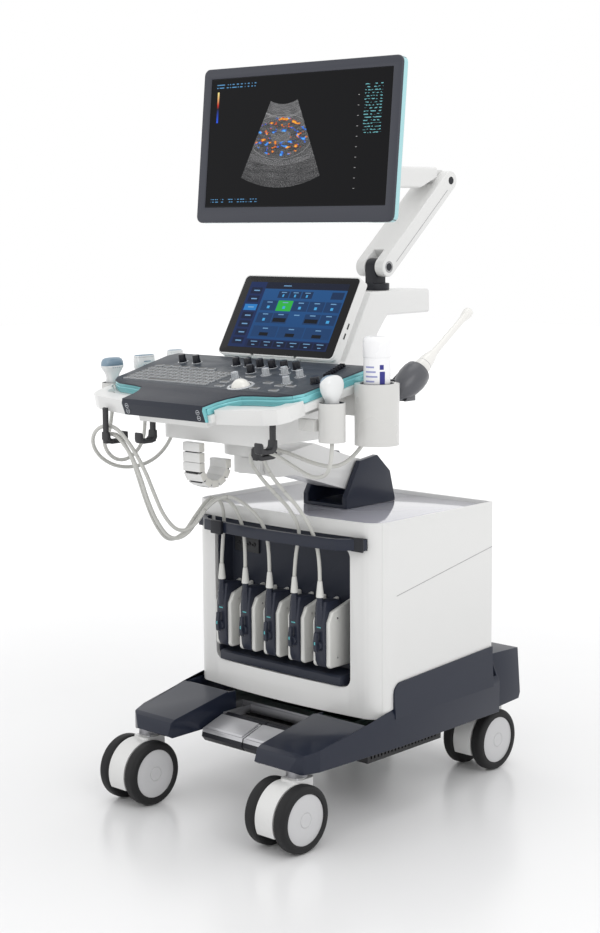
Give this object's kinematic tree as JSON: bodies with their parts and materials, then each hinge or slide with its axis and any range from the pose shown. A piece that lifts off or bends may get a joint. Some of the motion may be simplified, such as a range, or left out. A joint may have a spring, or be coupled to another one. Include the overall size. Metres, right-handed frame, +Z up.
{
  "type": "cart-based ultrasound machine",
  "caption": "Wheeled ultrasound machine: electronics cabinet on casters, lifting console with keyboard and touch screen, monitor on a jointed arm, hand-held probes in holders.",
  "frame": {"origin": "on the floor, on the centre plane, midway between the front and rear wheel axles", "axes": "+Z up, -Y towards the operator at the front, +X to the machine's right side as seen from the front"},
  "size_m": [0.75, 0.9525, 1.6767],
  "materials": {
    "shell_white": "semi-gloss",
    "base_navy": "satin",
    "deck_lavender": "high gloss",
    "console_slate": "satin",
    "palm_dark": "satin",
    "trim_aqua": "metallic satin",
    "steel": "brushed",
    "tyre_black": "matte",
    "pedal_silver": "satin",
    "dark_plastic": "matte",
    "port_grey": "matte",
    "connector_body": "satin",
    "board_green": "satin",
    "knob_black": "gloss",
    "key_grey": "satin",
    "ball_ivory": "gloss",
    "bezel_slate": "satin",
    "screen_glass": "anti-glare",
    "probe_white": "satin",
    "bottle_white": "satin",
    "cable_grey": "satin"
  },
  "bodies": {
    "base": {"chassis_frame": "steel", "base_cover_left": "base_navy", "base_cover_right": "base_navy", "rear_bumper": "base_navy", "base_vent": "dark_plastic", "cabinet_shell": "shell_white", "cabinet_front": "shell_white", "port_recess": "port_grey", "top_deck": "deck_lavender", "cable_bar": "base_navy", "probe_connectors": "connector_body", "electronics_rack": "board_green", "rear_panel": "dark_plastic", "lift_turret": "base_navy", "cable_convex": "cable_grey", "cable_linear": "cable_grey", "cable_phased": "cable_grey", "cable_volume": "cable_grey", "cable_endocavity": "cable_grey"},
    "brake_pedal": {"brake_pedal": "pedal_silver"},
    "lock_pedal": {"lock_pedal": "pedal_silver"},
    "lift_arm": {"lift_arm": "shell_white"},
    "arm_head": {"arm_head": "shell_white"},
    "console": {"console_deck": "console_slate", "palm_rest": "palm_dark", "console_trim": "trim_aqua", "console_lower": "shell_white", "console_handles": "shell_white", "monitor_neck": "shell_white", "probe_holders": "shell_white", "cable_hooks": "dark_plastic", "cable_carrier": "shell_white"},
    "keyboard": {"keyboard_keys": "key_grey"},
    "buttons": {"soft_buttons": "key_grey"},
    "encoders": {"encoder_knobs": "knob_black"},
    "gain_knob": {"gain_knob": "knob_black"},
    "gain_sliders": {"gain_sliders": "knob_black"},
    "trackball": {"trackball": "ball_ivory"},
    "touch_panel": {"touch_panel": "shell_white"},
    "arm_post": {"arm_post": "dark_plastic"},
    "spring_arm": {"spring_arm": "shell_white"},
    "arm_link": {"arm_link": "shell_white"},
    "monitor_mount": {"monitor_mount": "dark_plastic"},
    "monitor": {"monitor_bezel": "bezel_slate", "monitor_screen": "screen_glass", "monitor_back": "shell_white"},
    "probe_convex": {"probe_convex": "probe_white"},
    "probe_linear": {"probe_linear": "probe_white"},
    "probe_phased": {"probe_phased": "probe_white"},
    "probe_volume": {"probe_volume": "probe_white"},
    "probe_endocavity": {"probe_endocavity": "probe_white"},
    "gel_bottle": {"gel_bottle": "bottle_white"},
    "caster_front_left": {"caster_hood_front_left": "shell_white"},
    "wheels_front_left": {"caster_wheels_front_left": "tyre_black"},
    "caster_front_right": {"caster_hood_front_right": "shell_white"},
    "wheels_front_right": {"caster_wheels_front_right": "tyre_black"},
    "caster_rear_left": {"caster_hood_rear_left": "shell_white"},
    "wheels_rear_left": {"caster_wheels_rear_left": "tyre_black"},
    "caster_rear_right": {"caster_hood_rear_right": "shell_white"},
    "wheels_rear_right": {"caster_wheels_rear_right": "tyre_black"}
  },
  "joints": [
    {"name": "swivel_front_left", "type": "hinge", "parent": "base", "child": "caster_front_left", "pos_m": [-0.233, -0.33, 0.15], "axis": [0, 0, 1], "continuous": true},
    {"name": "roll_front_left", "type": "hinge", "parent": "caster_front_left", "child": "wheels_front_left", "pos_m": [-0.233, -0.364, 0.074], "axis": [1, 0, 0], "continuous": true},
    {"name": "swivel_front_right", "type": "hinge", "parent": "base", "child": "caster_front_right", "pos_m": [0.233, -0.33, 0.15], "axis": [0, 0, 1], "continuous": true},
    {"name": "roll_front_right", "type": "hinge", "parent": "caster_front_right", "child": "wheels_front_right", "pos_m": [0.233, -0.364, 0.074], "axis": [1, 0, 0], "continuous": true},
    {"name": "swivel_rear_left", "type": "hinge", "parent": "base", "child": "caster_rear_left", "pos_m": [-0.197, 0.398, 0.15], "axis": [0, 0, 1], "continuous": true},
    {"name": "roll_rear_left", "type": "hinge", "parent": "caster_rear_left", "child": "wheels_rear_left", "pos_m": [-0.197, 0.364, 0.074], "axis": [1, 0, 0], "continuous": true},
    {"name": "swivel_rear_right", "type": "hinge", "parent": "base", "child": "caster_rear_right", "pos_m": [0.197, 0.398, 0.15], "axis": [0, 0, 1], "continuous": true},
    {"name": "roll_rear_right", "type": "hinge", "parent": "caster_rear_right", "child": "wheels_rear_right", "pos_m": [0.197, 0.364, 0.074], "axis": [1, 0, 0], "continuous": true},
    {"name": "brake_press", "type": "hinge", "parent": "base", "child": "brake_pedal", "pos_m": [0, -0.176, 0.178], "axis": [1, 0, 0], "range_deg": [0, 8], "stiffness_Nm_per_rad": 12, "springref_deg": -3.44},
    {"name": "lock_press", "type": "hinge", "parent": "base", "child": "lock_pedal", "pos_m": [0, -0.176, 0.178], "axis": [1, 0, 0], "range_deg": [0, 8], "stiffness_Nm_per_rad": 12, "springref_deg": -3.44},
    {"name": "lift", "type": "hinge", "parent": "base", "child": "lift_arm", "pos_m": [0, 0.106, 0.738], "axis": [-1, 0, 0], "range_deg": [-6, 20], "deforming": ["cable_convex", "cable_linear", "cable_phased", "cable_volume", "cable_endocavity"]},
    {"name": "head_level", "type": "hinge", "parent": "lift_arm", "child": "arm_head", "pos_m": [0, -0.206, 0.791], "axis": [-1, 0, 0], "range_deg": [-20, 6]},
    {"name": "console_swivel", "type": "hinge", "parent": "arm_head", "child": "console", "pos_m": [0, -0.226, 0.84], "axis": [0, 0, 1], "range_deg": [-30, 30], "deforming": ["cable_convex", "cable_linear", "cable_phased", "cable_volume", "cable_endocavity"]},
    {"name": "key_press", "type": "slide", "parent": "console", "child": "keyboard", "axis": [0, 0.2113, -0.9774], "range_m": [0, 0.002], "stiffness_N_per_m": 3000, "springref_m": -0.001},
    {"name": "button_press", "type": "slide", "parent": "console", "child": "buttons", "axis": [0, 0.2113, -0.9774], "range_m": [0, 0.002], "stiffness_N_per_m": 2000, "springref_m": -0.001},
    {"name": "encoder_press", "type": "slide", "parent": "console", "child": "encoders", "axis": [0, 0.2113, -0.9774], "range_m": [0, 0.0015], "stiffness_N_per_m": 3000, "springref_m": -0.001},
    {"name": "gain_turn", "type": "hinge", "parent": "console", "child": "gain_knob", "pos_m": [0.262, -0.29706, 0.99153], "axis": [0, -0.2113, 0.9774], "continuous": true},
    {"name": "slider_travel", "type": "slide", "parent": "console", "child": "gain_sliders", "axis": [1, 0, 0], "range_m": [-0.01, 0.01]},
    {"name": "trackball_roll", "type": "hinge", "parent": "console", "child": "trackball", "pos_m": [0.098, -0.34955, 0.97404], "axis": [1, 0, 0], "continuous": true},
    {"name": "touch_tilt", "type": "hinge", "parent": "console", "child": "touch_panel", "pos_m": [0, -0.13761, 1.02093], "axis": [-1, 0, 0], "range_deg": [-12, 20]},
    {"name": "post_swivel", "type": "hinge", "parent": "console", "child": "arm_post", "pos_m": [0, 0.205, 1.16], "axis": [0, 0, 1], "range_deg": [-45, 45]},
    {"name": "spring_lift", "type": "hinge", "parent": "arm_post", "child": "spring_arm", "pos_m": [0, 0.205, 1.215], "axis": [1, 0, 0], "range_deg": [-18, 20]},
    {"name": "link_level", "type": "hinge", "parent": "spring_arm", "child": "arm_link", "pos_m": [0, 0.44, 1.418], "axis": [1, 0, 0], "range_deg": [-20, 18]},
    {"name": "monitor_swivel", "type": "hinge", "parent": "arm_link", "child": "monitor_mount", "pos_m": [0, 0.068, 1.45], "axis": [0, 0, 1], "range_deg": [-60, 60]},
    {"name": "monitor_tilt", "type": "hinge", "parent": "monitor_mount", "child": "monitor", "pos_m": [0, 0.038, 1.466], "axis": [1, 0, 0], "range_deg": [-15, 8]},
    {"name": "lift_out_probe_convex", "type": "slide", "parent": "console", "child": "probe_convex", "axis": [0, 0, 1], "range_m": [0, 0.08]},
    {"name": "lift_out_probe_linear", "type": "slide", "parent": "console", "child": "probe_linear", "axis": [0, 0, 1], "range_m": [0, 0.08]},
    {"name": "lift_out_probe_phased", "type": "slide", "parent": "console", "child": "probe_phased", "axis": [0, 0, 1], "range_m": [0, 0.08]},
    {"name": "lift_out_probe_volume", "type": "slide", "parent": "console", "child": "probe_volume", "axis": [0, 0, 1], "range_m": [0, 0.09]},
    {"name": "lift_out_gel_bottle", "type": "slide", "parent": "console", "child": "gel_bottle", "axis": [0, 0, 1], "range_m": [0, 0.14]},
    {"name": "draw_out_endocavity", "type": "slide", "parent": "console", "child": "probe_endocavity", "axis": [0, 0.829, 0.5592], "range_m": [0, 0.1]}
  ],
  "couplings": [
    {"joint": "head_level", "follows": "lift", "ratio": -1},
    {"joint": "link_level", "follows": "spring_lift", "ratio": -1}
  ]
}
